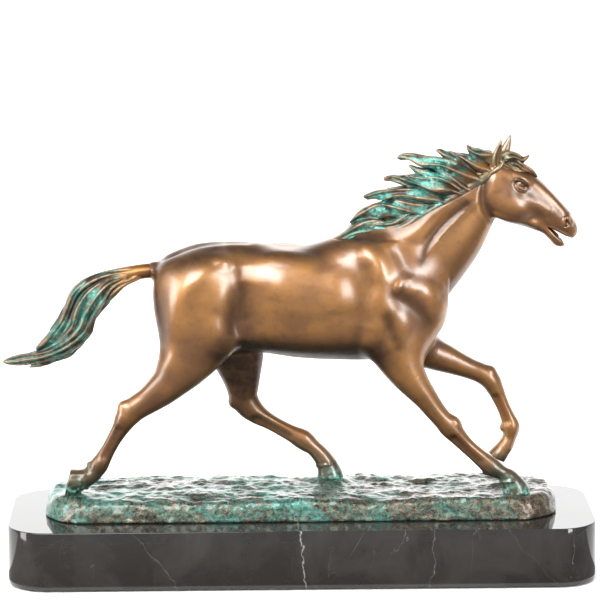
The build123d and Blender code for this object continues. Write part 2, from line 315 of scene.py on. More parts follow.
# Stations: x, y, z, radius in the side view, half width. Outside these tables and the locks of the mane,
# the half width is left out where it is the same as the radius.
BARREL = [(-62, 0, 189.5, 36, 26), (-45, 0, 191.5, 35, 24), (-28, 0, 190.2, 33.8, 25),
    (0, 0, 186.4, 34.7, 28), (22, 0, 188.2, 37.6, 27), (40, 0, 188.9, 38.9, 25), (60, 0, 186.5, 36, 24)]
NECK_FORM = [(52, 0, 200, 38, 20), (68, 0, 211, 36, 17.5), (84, 0, 223, 31, 15), (99, 0, 235.5, 25.5, 13),
    (111, 0, 248.5, 19.5, 11), (121, 0, 259.5, 15.5, 10), (129, 0, 267, 12.5, 9.3)]
RIGHT_FORE = [(58, -16, 178, 22, 11), (63, -17.5, 160, 17.5, 11), (70, -18, 144, 13, 10),
    (77, -18, 133, 10, 8.6), (84, -18, 124, 8, 7.4), (91, -18, 114.5, 6.8, 6.4), (96.5, -18, 108, 6.5, 6.2),
    (101.5, -18, 102.5, 7.1, 6.4), (106.5, -18, 96.5, 5.9, 5.4), (112, -18, 90.5, 5.1, 4.4),
    (118.5, -18, 84.3, 5.0, 4.3), (125, -18, 78.6, 5.5, 4.7), (130.5, -18, 74.2, 6.1, 5.4),
    (137.5, -18, 70, 4.6, 4.6), (143, -18, 66, 5.6, 5.8)]
LEFT_FORE = [(62, 16, 172, 20, 11), (76, 17, 157, 15.5, 10.5), (90, 17.5, 147.5, 11, 9),
    (101, 18, 142.5, 9, 7.6), (110, 18, 138.6, 7.4, 6.8), (118.5, 18, 135, 6.4, 6.2),
    (126, 18, 131.8, 6.4, 6.3), (131, 18, 128, 6.4, 6.4), (134.2, 18, 122.5, 5.4, 5.6),
    (137.5, 18, 115.5, 4.4, 4.5), (140.8, 18, 108, 4.0, 4.1), (144, 18, 100.5, 4.4, 4.4),
    (146, 18, 94, 5.6, 5.2), (145.2, 18, 87, 4.1, 4.4), (142.5, 18, 80.5, 4.6, 5.0)]
RIGHT_HIND = [(-66, -15, 186, 30, 14), (-70, -16, 168, 25, 14), (-78, -16.5, 151, 18.5, 13),
    (-87, -16.5, 137.8, 13, 10.5), (-96, -16.5, 129, 10.6, 8.6), (-104.5, -16.5, 122.5, 8.8, 7.2),
    (-113, -16.5, 117, 8.2, 6.6), (-118.5, -16.5, 111.5, 7.6, 6.4), (-122.8, -16.5, 104, 5.6, 5.4),
    (-127, -16.5, 97, 4.7, 4.6), (-131.5, -16.5, 89, 4.5, 4.4), (-135.3, -16.5, 82.3, 5.1, 4.8),
    (-138.5, -16.5, 77.3, 6.0, 5.4), (-142, -16.5, 72, 5.0, 4.8), (-147, -16.5, 68.6, 5.4, 5.8)]
LEFT_HIND = [(-56, 15, 182, 28, 14), (-49, 16.5, 164, 22, 14), (-43.6, 17.5, 148, 17.4, 12.5),
    (-41.2, 18, 135, 13.2, 10.2), (-40, 18, 125, 10.4, 8.4), (-39.3, 18, 117, 8.8, 7),
    (-35.5, 18, 110, 7.8, 6.6), (-29, 18, 104, 6, 5.6), (-22, 18, 99.6, 4.7, 4.7),
    (-13.5, 18, 94.6, 4.5, 4.4), (-5.5, 18, 90.2, 5, 4.7), (2, 18, 86, 6.2, 5.4), (8.5, 18, 80.8, 4.8, 4.8),
    (14, 18, 75, 5.2, 5.2), (17.5, 18, 70, 5.8, 5.8)]


def pair(clay, stations, **how):
    """The same tube on both sides."""
    tube(clay, stations, both=True, **how)


def trunk_forms(clay):
    tube(clay, BARREL, k=0, gap=5, inner=6)
    pair(clay, [(-54, -10, 174, 8), (-28, -14, 171, 8), (0, -16, 170, 9), (40, -15, 170, 9),
        (66, -12, 170, 9)], k=12, gap=6)
    tube(clay, NECK_FORM, k=16, gap=4, inner=4)
    tube(clay, [(-82, 0, 207, 9), (-93, 0, 209.4, 6.6, 6.4), (-104, 0, 209.4, 5.4, 5.2)], k=4)
    balls(clay, [
        # Croup, haunch and hamstrings.
        ((-64, -11, 203), (28, 15, 20), 10, -10), ((-66, -15, 193), (25, 16.5, 30), 5, 10),
        ((-70, -15, 172), (21, 15, 22), 7, 30), ((-84, -10, 190), (15, 13, 27), 9, 8),
        # Shoulders and chest.
        ((56, -14, 202), (18, 12, 30), 10, 20), ((70, -12, 190), (17, 12, 19), 8),
        ((81, -8, 179), (16, 13, 24), 8, -10), ((75, -9, 161), (13, 13, 15), 8),
    ], both=True)


# Soft grooves of the trunk, and ridges, whose depth is negative: path in the side view, width, depth.
GROOVES = [
    ([(-42, 216), (-41, 205), (-42, 190), (-47, 172), (-55, 158)], 8.5, 2.2),
    ([(-35, 206), (-36, 190), (-40, 166)], 11, 2.4),
    ([(37, 222), (40, 209), (42, 196), (39, 176)], 9, 1.5),
    ([(60, 200), (69, 192), (77, 185), (88, 174)], 6.5, 1.7),
    ([(56, 185), (59, 175), (64, 162)], 4, 0.9),
    ([(113, 259), (104, 250), (95, 241), (87, 232), (80, 220)], 4.2, 1.6),
    ([(62, 230), (68, 219), (73, 207)], 6, 1.3),
    ([(6, 205), (3, 190), (4, 172)], 10, 0.6),
    ([(122, 260), (110, 249), (98, 238), (90, 227), (81, 214)], 2.3, -0.9),
    ([(124, 270), (106, 259), (90, 250), (78, 238), (60, 228)], 6.5, -2.2),
    ([(-50, 221), (-65, 213), (-76, 205), (-81, 194), (-83, 182), (-81, 166)], 7.5, -2.0),
    ([(38, 223), (52, 220), (53, 203), (47, 186), (53, 171)], 6, -1.1),
    ([(72, 203), (84, 199), (95, 192)], 6.5, -1.3),
    ([(80, 198), (88, 188), (93, 178)], 6.5, -1.0),
    ([(-14, 216), (-15, 205), (-17, 194)], 9, -0.7),
    ([(20, 216), (24, 202), (25, 184)], 9, -1.1),
    ([(62, 203), (68, 200)], 5, -0.9),
]


def trunk_muscles(clay):
    balls(clay, [
        # Ribs and point of the hip.
        ((-12, -17, 203), (20, 10.5, 20), 14, -10), ((4, -14, 189), (37, 17.5, 31), 6),
        ((-53, -17, 218), (7, 7, 5), 5),
    ], both=True)
    # Stifles, which differ because the legs do.
    ball(clay, (-57, -19.5, 171), (12, 11.5, 16), 6, turn=30)
    ball(clay, (-46, 19, 168), (13, 12, 17), 6, turn=-10)
    balls(clay, [
        # Shoulder blade, point of the shoulder, upper arm and elbow.
        ((52, -17.5, 211), (9, 10.5, 20), 5, 28), ((66, -19, 201), (8, 7.5, 8), 7),
        ((55, -20, 187), (12, 11, 18), 5, 10), ((50, -21, 172), (8.5, 9, 15), 5, -30),
        ((64, -19, 172), (9, 9.5, 17), 5, -24),
    ], both=True)
    # Breast.
    pair(clay, [(74, -15.5, 203, 6), (84, -13.5, 198, 7), (91, -10, 189, 7.5), (90, -8, 176, 7)], k=4.5)
    # The fall of the buttocks behind the ridge of the haunch.
    pair(clay, [(-100, -32, 216, 8), (-104, -32, 198, 9), (-105, -31, 180, 9),
        (-102, -30, 160, 7)], k=10, cut=True)
    for path, width, depth in GROOVES:
        press(clay, path, width, depth)
    tube(clay, [(-92, 0, 223, 1.5, 2), (-62, 0, 231.5, 2.5, 3), (-38, 0, 231.5, 1, 1.5)], k=9, cut=True)


# Grooves between bone and tendon: Y of the leg and path in the side view.
CANNON_GROOVES = [
    (-18, [(104, 95), (112, 87.6), (121, 79.5)]), (18, [(135.2, 115), (138.8, 107), (142, 99.5)]),
    (-16.5, [(-125.5, 103), (-129.6, 95), (-134.6, 85)]), (18, [(-30.5, 102), (-21, 97), (-9, 90)]),
]


# The legs, and how much thicker than their stations each is made.
LEGS = ((RIGHT_HIND, 0.3), (LEFT_HIND, 0.8), (RIGHT_FORE, 0.2), (LEFT_FORE, 0.6))


def limb_forms(clay):
    for stations, extra in LEGS:
        tube(clay, [(x, y, z, r + extra, w + extra) for x, y, z, r, w in stations], k=8, gap=3)
    balls(clay, [
        # Points of the hocks, knees with the bone behind them, and fetlocks with their ergots.
        ((-120.6, -16.5, 118.6), (4.2, 4.2, 4), 3), ((-46, 18, 113.2), (3.6, 4.2, 4), 3),
        ((105, -18, 106.5), (4.6, 5, 3), 2.5, -45), ((97, -18, 102), (2.6, 3, 2.6), 2),
        ((131.5, 18, 134), (3.8, 5, 3.4), 2.5), ((126.2, -18, 71), (2.6, 2, 2), 1.5, 30),
        ((-143.8, -16.5, 78), (3, 2.2, 2), 1.5, -20), ((3.5, 18, 79.8), (2.4, 2, 2), 1.5),
        ((140.2, 18, 93.6), (2, 2, 2.6), 1.5),
    ])
    for y, path in CANNON_GROOVES:
        for out in (-6.4, 6.4):
            tube(clay, [(x, y + out, z, 1.5) for x, z in path], k=4, gap=3, cut=True)


def flat_end(clay, point, normal, reach):
    """Cuts the clay off square past a plane, within reach of the point."""
    part, axes = clay.window([c - reach for c in point], [c + reach for c in point])
    if part is None:
        return
    x, y, z = axes
    past = ((x - point[0]) * normal[0] + (z - point[2]) * normal[1]) / math.hypot(*normal)
    clay.field[part] = np.maximum(clay.field[part], past + 0 * y)


def hooves(clay):
    # The right fore and left hind hooves stand on the plate.
    tube(clay, [(141.5, -18, 67.5, 5.4, 5.6), (144.5, -18, 62.5, 7.4, 7), (146.8, -18, 57.5, 9, 8.2),
        (147.2, -18, 52, 9.6, 8.8)], k=1.2)
    flat_end(clay, (147, -18, 56), (0, -1), 20)
    tube(clay, [(16.5, 18, 71.5, 5.6, 5.8), (19, 18, 66, 7.4, 7), (20.5, 18, 61, 8.6, 8),
        (21, 18, 56, 9, 8.4)], k=1.2)
    flat_end(clay, (20.5, 18, 59.5), (0, -1), 20)
    # The right hind hoof pushes off with its toe on the plate: wall, heels, coronet and hollow sole.
    tube(clay, [(-142.5, -16.5, 71.5, 5.4), (-148, -16.5, 68.4, 6.2, 6.6), (-153, -16.5, 66.2, 7, 7.4),
        (-158, -16.5, 65.6, 8.6, 7.8), (-165, -16.5, 65, 9.2, 8)], k=1.2)
    tube(clay, [(-157, -16.5, 71.6, 3.1, 6), (-147.5, -16.5, 71.4, 3, 5.4)], k=1.5)
    tube(clay, [(-146.5, -16.5, 76, 0.9, 3), (-149.4, -16.5, 68.6, 0.9, 7.2),
        (-146.4, -16.5, 61.6, 0.9, 3)], k=1.2)
    flat_end(clay, (-160.2, -16.5, 65), (-0.97, 0.24), 14)
    flat_end(clay, (-152, -16.5, 57.4), (0, -1), 14)
    ball(clay, (-162, -16.5, 65.6), (4, 4.8, 4.4), 1.2, cut=True)
    # The left fore hoof hangs in the air.
    tube(clay, [(143.6, 18, 83.5, 4.6, 5), (140.2, 18, 78, 5.6, 6), (136, 18, 72.5, 6.6, 6.8)], k=1.2)
    flat_end(clay, (135.8, 18, 72.6), (-0.54, -0.84), 11)
    ball(clay, (134.8, 18, 71), (4.2, 4.2, 3.4), 1.2, turn=-32, cut=True)
    # Coronets of the standing hooves.
    for (x, y, z), r, w in (((142.6, -18, 65.6), 6.4, 6.8), ((17.6, 18, 69.4), 6.2, 6.6)):
        tube(clay, [(x - r, y, z - 1.5, 0.9, w * 0.5), (x, y, z, 0.9, w + 0.6),
            (x + r, y, z + 1, 0.9, w * 0.5)], k=1.5)


def head_forms(clay):
    tube(clay, [(126, 0, 267.5, 13, 9.3), (133, 0, 268.5, 13.2, 10), (140, 0, 268, 13.2, 10.2),
        (148, 0, 264.6, 12.3, 9.6), (156, 0, 258.8, 11.5, 8), (164, 0, 252, 10.4, 6.8),
        (171, 0, 246.2, 9, 6.2), (177, 0, 241.6, 7.6, 6.2), (181.2, 0, 237.8, 5.8, 5.6),
        (184, 0, 234.2, 4)], k=4, gap=3, inner=3)
    tube(clay, [(139, 0, 256.5, 13.6, 9), (146, 0, 251, 10.2, 7.6), (154, 0, 245.6, 7, 6),
        (161, 0, 240.8, 4.9, 5), (167, 0, 236.4, 3, 4.4), (171.4, 0, 232, 2.9, 4.2),
        (175.4, 0, 228.2, 3.2, 4), (178, 0, 226.7, 2.5, 3.2)], k=2.5, gap=3, inner=2)
    # Cheek with the crease behind it, and the edge of the jaw.
    balls(clay, [((136, -5, 260), (11, 7.4, 12), 3.5, -20), ((144, -5, 254), (14, 9, 10.4), 5, -22)],
        both=True)
    pair(clay, [(127, -12, 276, 1.4), (124.6, -12.6, 266, 1.9), (124.4, -12.4, 256, 1.9),
        (127.5, -10.5, 247.5, 1.7), (131, -7, 243, 1.4)], k=4, cut=True)
    pair(clay, [(133, -7.4, 247.5, 1.2), (141, -7.8, 245, 1.2), (150, -6, 243.3, 1.1),
        (158, -4.6, 240.8, 1)], k=4.5)
    # Brow, temple, bridge of the nose and the crest under the eye.
    balls(clay, [((149.5, -7.4, 272), (7, 3.2, 2.8), 2.5, -28), ((132, -5.6, 277.5), (4.6, 3.4, 4), 2.5)],
        both=True)
    pair(clay, [(155.5, -5, 270.8, 1.2), (162, -4.4, 265.2, 1.2), (170, -3.8, 257.7, 1.2),
        (178, -4, 248.6, 1.1)], k=3.5)
    pair(clay, [(150, -8.4, 260.6, 1.4, 1.2), (158, -7.2, 255.6, 1.4, 1.2),
        (166, -5.8, 250.4, 1.2, 1)], k=5)
    # Eye.
    ball(clay, (149.4, -12.4, 268), (5.4, 3.4, 4), 1.6, turn=-35, cut=True, both=True)
    ball(clay, (149.2, -8.3, 268.2), (3.5, 2.5, 3.1), 0.2, both=True)
    pair(clay, [(143.8, -9.4, 270.2, 0.5, 0.6), (146, -10.5, 271.5, 0.7, 0.9),
        (149.2, -10.9, 271.2, 0.75, 1), (152.2, -10.1, 268.9, 0.7, 0.9),
        (154.4, -8.7, 265.4, 0.5, 0.6)], k=0.6, gap=1.2)
    pair(clay, [(144, -9.4, 270, 0.4, 0.5), (146.2, -10.1, 267.2, 0.5, 0.6),
        (149.8, -10.2, 265.2, 0.55, 0.7), (153.8, -8.8, 265.4, 0.4, 0.5)], k=0.7, gap=1.2)
    # Nostril.
    ball(clay, (180.6, -5, 241.6), (4.6, 3.2, 4.6), 1.8, both=True)
    balls(clay, [((180.9, -9, 241.6), (1.3, 3, 2.7), 0.6, 28),
        ((180, -8.6, 239.6), (1.6, 2.4, 1), 0.6, 20)], cut=True, both=True)
    pair(clay, [(178.8, -7.4, 240, 0.4, 0.5), (178.8, -7.7, 242.6, 0.5, 0.6), (180.2, -7.9, 245, 0.6, 0.7),
        (182.4, -7.3, 243.8, 0.5, 0.6), (183.2, -6.8, 241, 0.4, 0.5)], k=1.2, gap=1.2)
    # Open mouth, tongue and lips.
    tube(clay, [(168.2, 0, 238, 0.4, 9), (172.6, 0, 235.2, 1.3, 9), (177.4, 0, 231.9, 2.3, 9),
        (185, 0, 226.4, 3.8, 9)], k=0.5, gap=1.2, cut=True)
    tube(clay, [(163, 0, 240, 2, 2.2), (170, 0, 235, 1.8, 2.4), (174.6, 0, 231.4, 1.5, 2)], k=0.4)
    pair(clay, [(169.6, -5, 239, 0.8), (175, -5.5, 236.2, 0.95), (180, -4.9, 233.4, 1),
        (185, -2, 231.6, 1.4, 1.6)], k=1.1, gap=1.5)
    pair(clay, [(169.8, -4, 234.2, 0.6), (173.6, -4, 230.6, 0.8), (177.6, -3, 228.2, 0.9)], k=0.8, gap=1.5)
    ball(clay, (173.6, 0, 228.9), (2.8, 3.4, 2.3), 1.5, turn=-30)


def horse(clay):
    """The whole bare horse, sculpted the same way into any block of clay."""
    trunk_forms(clay)
    limb_forms(clay)
    trunk_muscles(clay)
    hooves(clay)
    head_forms(clay)


# Locks of the mane: stations as above, tips last.
MANE_LOCKS = [
    [(136, -1, 280, 5, 5), (128, -2, 285.5, 4.8, 4.5), (121, -2, 288, 4.2, 4), (115.6, -1, 290.5, 2.8, 3),
     (113.6, 0, 293.4, 1.1, 1.4)],
    [(130, -5, 274, 6, 5), (119, -4, 281, 6, 5.5), (108, -2, 285, 4.4, 4.4), (99, -1, 287.5, 3.4, 3.4),
     (94.6, 0, 290.2, 2, 2.2), (93, 0, 290.4, 1.2, 1.4)],
    [(119, -8, 269, 6, 4.6), (107, -5.5, 276, 7.6, 6), (95, -3.5, 280.5, 6, 5.2), (84, -2, 283, 4.8, 4.4),
     (76, -1, 286, 3.6, 3.4), (70, 0, 286.8, 2.4, 2.6), (67, 0, 285.8, 1.4, 1.6)],
    [(112, -9, 265.5, 4.6, 4), (100, -8, 270.5, 5, 4), (89, -6, 274, 3.8, 3.4), (80, -4, 277, 2.4, 2.4),
     (74, -3, 280.5, 1.0, 1.2)],
    [(107, -8.6, 262, 5.6, 4.6), (95, -7.5, 266, 6.6, 5.4), (83, -5, 269.5, 5.6, 5),
     (72, -3, 270.6, 4.4, 4), (63, -1, 272, 2.8, 2.8), (57.6, 0, 271.4, 1.5, 1.8)],
    [(96, -9, 256.5, 5.4, 4.6), (83, -8, 260, 6.2, 5.2), (71, -5, 261.4, 5.6, 4.8),
     (60, -3, 260.8, 4.8, 4.4), (51, -2, 261, 3.4, 3.2), (44.4, 0, 259.4, 1.9, 2)],
    [(84, -9.6, 251, 5.2, 4.4), (71, -8.6, 252, 6.6, 5.2), (59, -6, 251.4, 6.8, 5),
     (49, -4, 248.6, 6.2, 4.6), (41, -2, 246, 4.6, 4), (35.4, 0, 242, 2.2, 2.2)],
    [(88, -9.8, 252.5, 4, 3.4), (76, -10.2, 246.5, 4.4, 3.6), (64, -9.8, 242.6, 4.6, 3.6),
     (53, -8.4, 240, 4.4, 3.4), (46, -6, 239, 2.4, 2.4)],
    [(64, -8.8, 239.6, 4.6, 4), (51, -7.4, 240, 5.6, 4.6), (40, -4.6, 238, 5.6, 4.8),
     (30, -3, 232.8, 3.6, 3.8), (22.4, -1, 229, 2.4, 2.8), (16, 0, 225.4, 1.2, 1.6)],
]
# The far side of the mane lies a little further back than the near side.
FAR_SHIFT = (1.5, -0.8)
MANE_ROOT = [(131.6, -6.2, 277.5, 3), (124, -7.8, 272.5, 3.6, 3), (111, -9.8, 263.6, 3.2, 2.6),
    (97, -10.8, 255.8, 3.2, 2.6), (84, -11.4, 248.2, 3.2, 2.6), (71, -11.6, 240.6, 3, 2.6),
    (58, -10.6, 236, 3, 2.6), (44, -8, 233.6, 2.6), (32, -4.6, 230.6, 2.2, 2.4), (22, -2, 227.4, 1.6, 2)]


def mane(clay):
    pair(clay, MANE_ROOT, k=1.5, gap=2)
    for n, lock in enumerate(MANE_LOCKS):
        far = [(x + FAR_SHIFT[0], 1 - y, z + FAR_SHIFT[1], r, w) for x, y, z, r, w in lock]
        tube(clay, far, k=0.8, gap=2, strands=2, depth=-1.3, seed=1.1 + 2.3 * n)
        tube(clay, lock, k=0.8, gap=2, strands=2, depth=-1.3, seed=1.7 * n)


# Stations, depth of the grooves and seed of their waves.
FORELOCK = [
    ([(131, 0.5, 284, 4, 5), (138, 0, 286, 4.6, 5.4), (145, -0.6, 286, 3.6, 4.6),
      (150.4, -1, 284, 2.3, 2.8), (155, -1.2, 286.8, 0.8)], -1.1, 0.4),
    ([(134, -1.5, 281, 3.5, 5), (143, -1.8, 281.6, 4, 5.2), (151, -1.8, 279, 3, 4.4),
      (157, -2, 276, 1.9, 3), (160.8, -2, 272.4, 0.5, 0.8)], -1.1, 1.3),
    ([(133, -5.4, 281, 2.4), (140, -6.4, 280, 2.6, 2.2), (147, -6.4, 277.6, 1.9, 1.8),
      (153, -5.4, 276.4, 0.5, 0.6)], -0.8, 2.2),
    ([(134, 5, 282, 2.4), (141, 6, 281, 2.6, 2.2), (149, 5.6, 278, 0.5, 0.8)], 0.9, 3.1),
]


def forelock(clay):
    for stations, depth, seed in FORELOCK:
        tube(clay, stations, k=0.8, gap=1.5, strands=2, depth=depth, seed=seed)


TAIL_CORE = [(-88, 0, 211, 5.6, 5.4), (-100, 0, 209.6, 5), (-112, 0, 208.2, 5), (-122, 0, 205, 5.4, 5.6),
    (-133, 0, 199.5, 7.5, 6.4), (-144, 0, 190, 9.4, 7), (-149.5, 0, 178, 10, 7.2), (-156, 0, 166, 8.6, 6.8),
    (-166, 0, 156.4, 6, 5.4), (-179, 0, 151, 3.6, 3.8)]
# Tail locks with their number of grooves and their depth.
TAIL_LOCKS = [
    ([(-116, 0, 209.4, 3.4, 4.4), (-128, 0, 207, 3.4, 5.4), (-138, 0, 204.4, 3.4, 6),
      (-147, 0, 200, 3.6, 6.4), (-154, 0, 193, 4, 6.6), (-158.4, 0, 183, 4, 6.4),
      (-162.4, 0, 174, 4.6, 6), (-170, 0, 164, 4.4, 5.4), (-178, 0, 156.6, 3, 4)], 2, 1.0),
    ([(-120, -4, 205, 2.6, 3), (-131, -6.4, 200, 5, 3.6), (-140, -7.8, 191, 8, 4),
      (-146, -8.4, 181, 9, 4.2), (-149.5, -8, 171, 8.2, 4.2), (-157, -6.4, 162, 6.8, 4.2),
      (-167, -4, 154.6, 5, 4), (-178, -1.8, 150.4, 4.2, 3.8), (-190, 0, 148.4, 4.6, 3.2),
      (-198, 0, 147.4, 3.2, 2.4), (-203, 0, 147, 1)], 3, -1.3),
    ([(-120, 4, 205, 2.6, 3), (-132, 6.4, 199.5, 5, 3.6), (-141, 7.8, 190, 7.6, 4),
      (-147, 8.4, 179, 8.4, 4.2), (-152, 8, 169, 7.6, 4.2), (-160, 6, 160, 6, 4), (-172, 3, 153, 4, 3.6),
      (-186, 1, 151, 2, 2.2)], 3, -1.3),
    ([(-110, -2.4, 205.8, 2.6, 3), (-120, -4, 201.4, 3, 3.4), (-128.6, -4.6, 194, 3.4, 3.6),
      (-134.6, -3.6, 186.6, 2.8, 3.2), (-139, -2, 179, 1.6, 2.4)], 2, 0.9),
    ([(-149, 0, 162.5, 3.4, 4), (-158, -1, 153.4, 3.4, 3), (-164, -1, 150, 2.2),
      (-168.4, -1, 147.6, 1, 1.2)], 2, 0.7),
    ([(-165, 0, 152, 3.4), (-174, -1, 147, 2.8, 2.6), (-180, -1, 144.6, 1.6),
      (-185, 0, 143.2, 0.8, 1)], 2, 0.7),
]


def tail(clay):
    tube(clay, TAIL_CORE, k=0.5, gap=2)
    for n, (lock, strands, depth) in enumerate(TAIL_LOCKS):
        tube(clay, lock, k=0.9, gap=2, strands=strands, depth=depth, seed=1.3 * n + 0.4)


def right_ear(clay):
    tube(clay, [(132.8, -5.4, 277, 2.8, 3), (132.6, -6.4, 282, 3.4, 2.8), (132.9, -7.4, 287, 3.2, 2.5),
        (134, -8.2, 292.4, 2.2, 1.8), (135.4, -8.8, 298.4, 0.5)], k=0.3, gap=1.2)
    tube(clay, [(133.6, -8.4, 279.4, 0.9, 1.4), (133.6, -9.6, 284, 1.7, 1.9), (134, -10, 289, 1.4, 1.6),
        (134.9, -9.6, 294.6, 0.5, 0.7)], k=0.5, gap=1.2, cut=True)
    tube(clay, [(128, -8.8, 275, 1.1, 1), (130.4, -9.4, 277, 1.5, 1.3), (133.4, -9.6, 279.2, 1.6, 1.4),
        (136, -8.8, 281.8, 1.3, 1.2), (137.4, -7.8, 284.4, 0.8, 0.9)], k=0.9, gap=1.2)


def left_ear(clay):
    tube(clay, [(135.5, 5.4, 278.5, 3.8, 3), (137.6, 6, 284, 4, 2.8), (139.6, 6.6, 289.6, 3.2, 2.4),
        (141.6, 7, 295, 1.9, 1.6), (143, 7.2, 299.4, 0.5)], k=0.3, gap=1.2)
    tube(clay, [(137.4, 8.6, 282, 1.6, 1.8), (139.4, 9.2, 287.6, 2.2, 1.9), (141, 9, 292.6, 1.2),
        (142.2, 8.4, 296, 0.4)], k=0.5, gap=1.2, cut=True)


# Ground plate: foot, half length, half depth and corner radius, and mounds (x, y, top) under hooves.
PLATE_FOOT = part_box("ground_plate")[0][2] * 1000
PLATE_X, PLATE_Y, PLATE_CORNER = 176, 37.2, 30
MOUNDS = [(147, -18, 56.6), (-152, -16.5, 58.6), (20, 18, 60.4)]


def plate(clay):
    """Rough modelled ground: a drafted slab with a lumpy top that rises to the back, and a grainy side."""
    x, y, z = clay.axes
    draft = (z - PLATE_FOOT) * 0.2
    qx, qy = np.abs(x) - (PLATE_X - PLATE_CORNER) + draft, np.abs(y) - (PLATE_Y - PLATE_CORNER) + draft
    side = np.hypot(np.maximum(qx, 0), np.maximum(qy, 0)) + np.minimum(np.maximum(qx, qy), 0) - PLATE_CORNER
    flat = [x, y, np.zeros((1, 1, 1), np.float32)]
    height = 56.6 + 0.02 * y + 1.3 * ripple(flat, (34, 16, 1), 3) + 1.0 * ripple(flat, (14, 7, 1), 4)
    height = height + 0.7 * np.abs(ripple(flat, (7, 3.4, 1), 5)) + 0.3 * ripple(flat, (3, 2, 1), 6)
    for cx, cy, top in MOUNDS:
        near = np.exp(-(((x - cx) / 15) ** 2 + ((y - cy) / 12) ** 2) ** 1.5)
        height = height + (top - height) * near
    field = -smooth_min(-side, -(z - height), 5)
    for depth, cell, seed in ((0.55, (9, 9, 6), 7), (0.35, (3.6, 3.6, 3), 8), (0.2, 1.8, 9)):
        field = field + depth * ripple([x, y, z], cell, seed)
    clay.field = np.maximum(field, PLATE_FOOT + 0.05 - z).astype(np.float32)


# Brazed joints: a point on the cut, its direction outwards, and the side of the horse (0: both).
JOINTS = {
    "right_fore_leg": ((74.5, 137), (14.5, -23.5), -1),
    "left_fore_leg": ((93, 146.5), (26, -11.5), 1),
    "right_hind_leg": ((-85.5, 139.5), (-21.5, -25), -1),
    "left_hind_leg": ((-43, 138.5), (5.5, -26), 1),
    "head_casting": ((114.5, 250), (21.5, 23.5), 0),
    "tail_casting": ((-100, 209.5), (-24, -2), 0),
}
# How far along the horse a leg's root is cut from the body, either way from its joint.
ROOT_REACH = 42


def past_joint(clay, name):
    """Distance past a brazed joint, positive on the far side from the body."""
    (px, pz), (dx, dz), side = JOINTS[name]
    x, y, z = clay.axes
    length = math.hypot(dx, dz)
    past = ((x - px) * dx + (z - pz) * dz) / length + 0 * y
    return np.minimum(past, y * side + 2) if side else past


def trim(clay, past):
    """Keeps the clay where past is negative, with a thin lip that dips under the next piece."""
    clay.field = np.maximum(clay.field + 0.15 * np.maximum(past, 0), past - 2).astype(np.float32)


# Castings: how they are sculpted, the block of clay and its grid step in millimetres, and the material.
PIECES = {
    "body_casting": (horse, (-106, -40, 122), (136, 40, 272), 1.0, "bronze"),
    "head_casting": (horse, (96, -16, 218), (192, 16, 288), 0.42, "bronze"),
    "right_fore_leg": (horse, (56, -32, 50), (162, -4, 152), 0.65, "bronze"),
    "left_fore_leg": (horse, (80, 4, 64), (160, 32, 164), 0.65, "bronze"),
    "right_hind_leg": (horse, (-170, -32, 52), (-62, -2, 156), 0.65, "bronze"),
    "left_hind_leg": (horse, (-66, 2, 54), (36, 34, 150), 0.65, "bronze"),
    "tail_casting": (tail, (-206, -16, 138), (-92, 16, 218), 0.55, "green_bronze"),
    "mane_casting": (mane, (14, -18, 218), (142, 20, 298), 0.55, "green_bronze"),
    "forelock": (forelock, (124, -12, 268), (166, 12, 294), 0.4, "green_bronze"),
    "right_ear": (right_ear, (124, -16, 270), (142, -1, 302), 0.35, "bronze"),
    "left_ear": (left_ear, (128, 0, 272), (148, 14, 303), 0.35, "bronze"),
    "ground_plate": (plate, (-180, -42, PLATE_FOOT - 1), (180, 42, 66), 0.95, "patinated_bronze"),
}


def mark(obj, name, values):
    """Stores one number per vertex for the materials."""
    attribute = obj.data.attributes.new(name, "FLOAT", "POINT")
    attribute.data.foreach_set("value", values.astype(np.float32))


# Painted shade on the brown, where it falls darkest: path in the side view, width of the brush, strength.
SHADE_STROKES = [
    ([(-102, 207), (-92, 216), (-76, 221), (-58, 227)], 9, 0.8),
    ([(-102, 203), (-101, 186), (-98, 168)], 10, 0.85),
    ([(-41, 212), (-42, 192), (-47, 174), (-57, 156)], 8, 0.7), ([(-38, 190), (-36, 172)], 9, 0.6),
    ([(-36, 160), (-5, 154), (30, 151), (52, 152)], 11.5, 1.0),
    ([(-48, 228), (-10, 223), (22, 227), (45, 236)], 5, 0.7),
    ([(113, 256), (100, 243), (88, 231), (82, 219)], 4.4, 0.85),
    ([(66, 197), (75, 188), (86, 176)], 6, 0.5), ([(42, 214), (42, 196), (40, 176)], 9, 0.45),
    ([(58, 184), (65, 162)], 5, 0.6), ([(124, 243), (108, 216), (101, 192)], 5, 0.4),
    ([(30, 231), (62, 237), (90, 252), (120, 270)], 6, 0.7), ([(60, 232), (69, 218), (74, 206)], 5, 0.4),
    ([(-100, 128), (-118, 112), (-128, 98)], 7, 0.45),
    ([(-124, 104), (-134, 84), (-142, 71), (-160, 66)], 11, 0.75), ([(136, 68), (150, 58)], 8, 0.5),
    ([(84, 124), (100, 104), (118, 84), (140, 66)], 7, 0.45),
    ([(-100, 172), (-92, 146), (-110, 120)], 5, 0.5), ([(126, 274), (124, 262), (128, 248)], 4, 0.7),
    ([(140, 278), (152, 276), (166, 266), (182, 249)], 3, 0.5),
    ([(158, 262), (168, 252), (174, 245)], 4.5, 0.5), ([(146, 263), (151, 262), (156, 261)], 3, 0.7),
    ([(143, 270.4), (148, 272.4), (153, 269), (155, 265.4)], 1.3, 0.9),
    ([(149, 269), (150, 268)], 1.6, 0.6), ([(137, 273), (142, 268), (141, 262)], 3, 0.4),
    ([(132, 244), (150, 240), (166, 234)], 3, 0.5), ([(172, 236), (176, 230)], 4, 0.5),
]


def stroke(vertices, path, width):
    """How strongly a soft brush along a path in the side view touches each vertex."""
    return np.exp(-near_path(vertices[:, 0], vertices[:, 2], side_path(path, 3.0))[0] / width ** 2)


